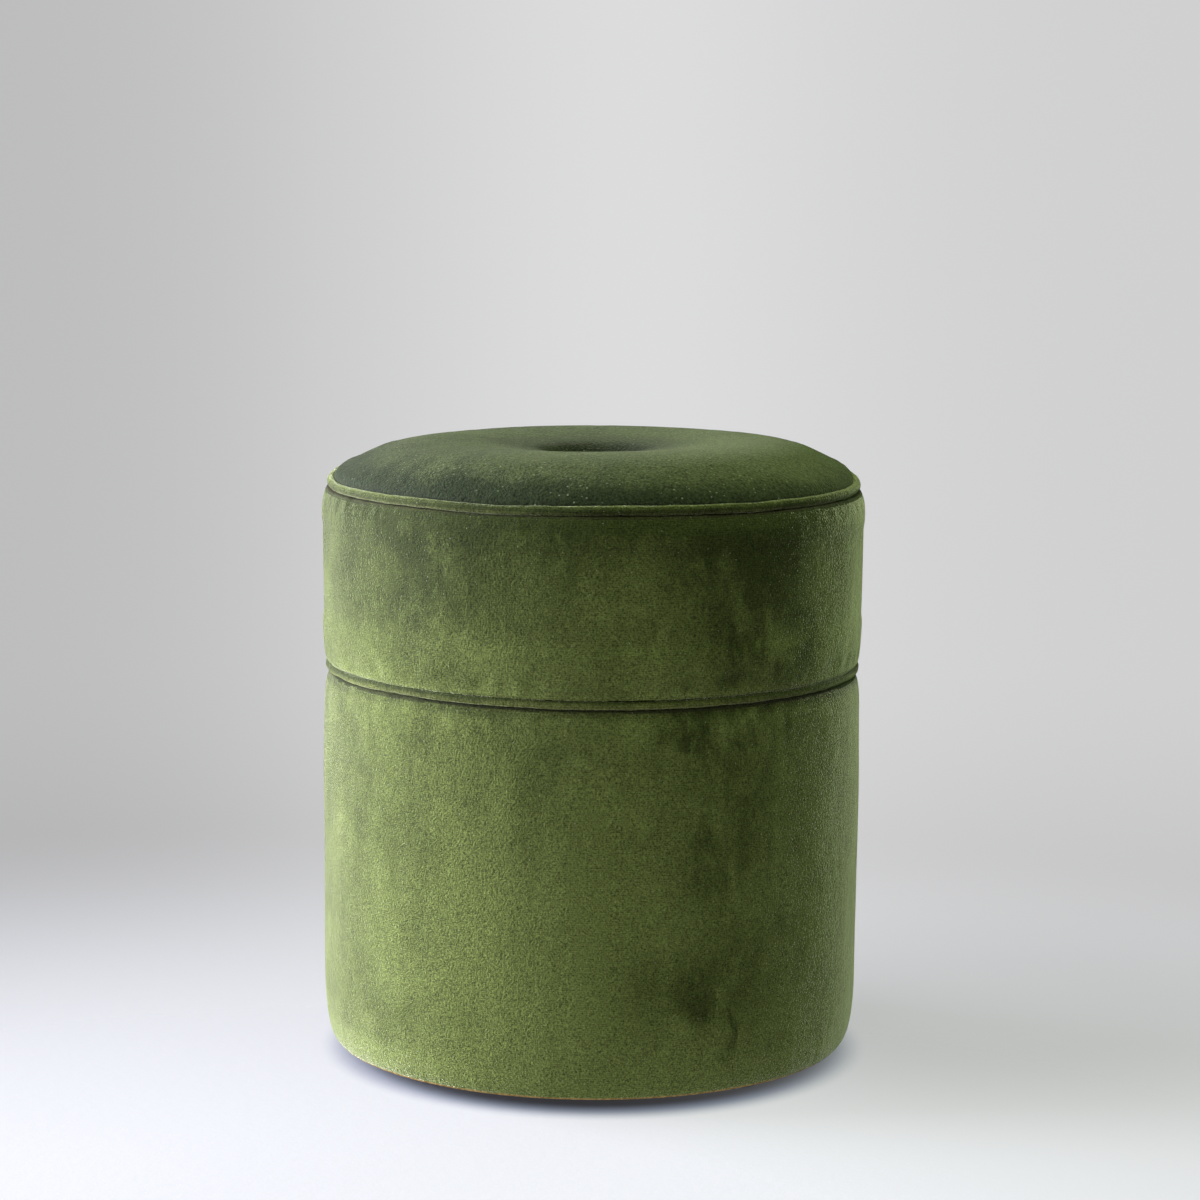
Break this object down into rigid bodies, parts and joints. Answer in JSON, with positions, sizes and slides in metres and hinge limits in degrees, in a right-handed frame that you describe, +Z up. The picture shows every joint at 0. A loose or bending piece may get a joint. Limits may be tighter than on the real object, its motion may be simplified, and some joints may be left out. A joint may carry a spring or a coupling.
{
  "type": "storage ottoman",
  "caption": "Round drum ottoman in piped velvet with a tufted lift-off padded lid over a lined storage bay, standing on low glides.",
  "frame": {"origin": "on the floor under the middle of the drum", "axes": "+Z up along the drum's axis, -Y towards the viewer's side; the drum is round, so any side can be the front"},
  "size_m": [0.4008, 0.4008, 0.4584],
  "materials": {
    "velvet": "short-pile velvet",
    "plywood": "sanded plywood",
    "pine": "planed pine",
    "hardboard": "smooth hardboard",
    "foam": "open-cell foam",
    "wadding": "polyester wadding",
    "lining_board": "lining cloth on board",
    "lining_cloth": "plain-weave lining",
    "dust_cloth": "non-woven dust cloth",
    "plastic": "moulded satin",
    "steel": "zinc-plated",
    "twine": "waxed twine"
  },
  "bodies": {
    "base": {"base_floor_panel": "plywood", "base_rim_ring": "plywood", "base_skin": "hardboard", "base_foam_wrap": "foam", "base_velvet_cover": "velvet", "bay_liner_wall": "lining_board", "bay_liner_floor": "lining_board", "dust_cover": "dust_cloth", "frame_post_1": "pine", "post_screw_lower_1": "steel", "post_screw_upper_1": "steel", "frame_post_2": "pine", "post_screw_lower_2": "steel", "post_screw_upper_2": "steel", "frame_post_3": "pine", "post_screw_lower_3": "steel", "post_screw_upper_3": "steel", "frame_post_4": "pine", "post_screw_lower_4": "steel", "post_screw_upper_4": "steel", "frame_post_5": "pine", "post_screw_lower_5": "steel", "post_screw_upper_5": "steel", "frame_post_6": "pine", "post_screw_lower_6": "steel", "post_screw_upper_6": "steel", "glide_1": "plastic", "glide_screw_1": "steel", "glide_2": "plastic", "glide_screw_2": "steel", "glide_3": "plastic", "glide_screw_3": "steel", "glide_4": "plastic", "glide_screw_4": "steel"},
    "lid": {"lid_board": "plywood", "lid_foam_block": "foam", "seat_wadding": "wadding", "seat_velvet_top": "velvet", "lid_velvet_band": "velvet", "upper_piping": "velvet", "lower_piping": "velvet", "lid_velvet_hem": "velvet", "lid_underside_lining": "lining_cloth", "locating_disc": "plywood", "locating_disc_wrap": "lining_cloth", "tuft_button": "velvet", "tuft_twine": "twine", "tuft_anchor": "plastic", "locating_screw_1": "steel", "locating_screw_2": "steel", "locating_screw_3": "steel", "locating_screw_4": "steel", "locating_screw_5": "steel", "locating_screw_6": "steel"}
  },
  "joints": [
    {"name": "lid_lift", "type": "slide", "parent": "base", "child": "lid", "axis": [0, 0, 1], "range_m": [0, 0.4]}
  ]
}
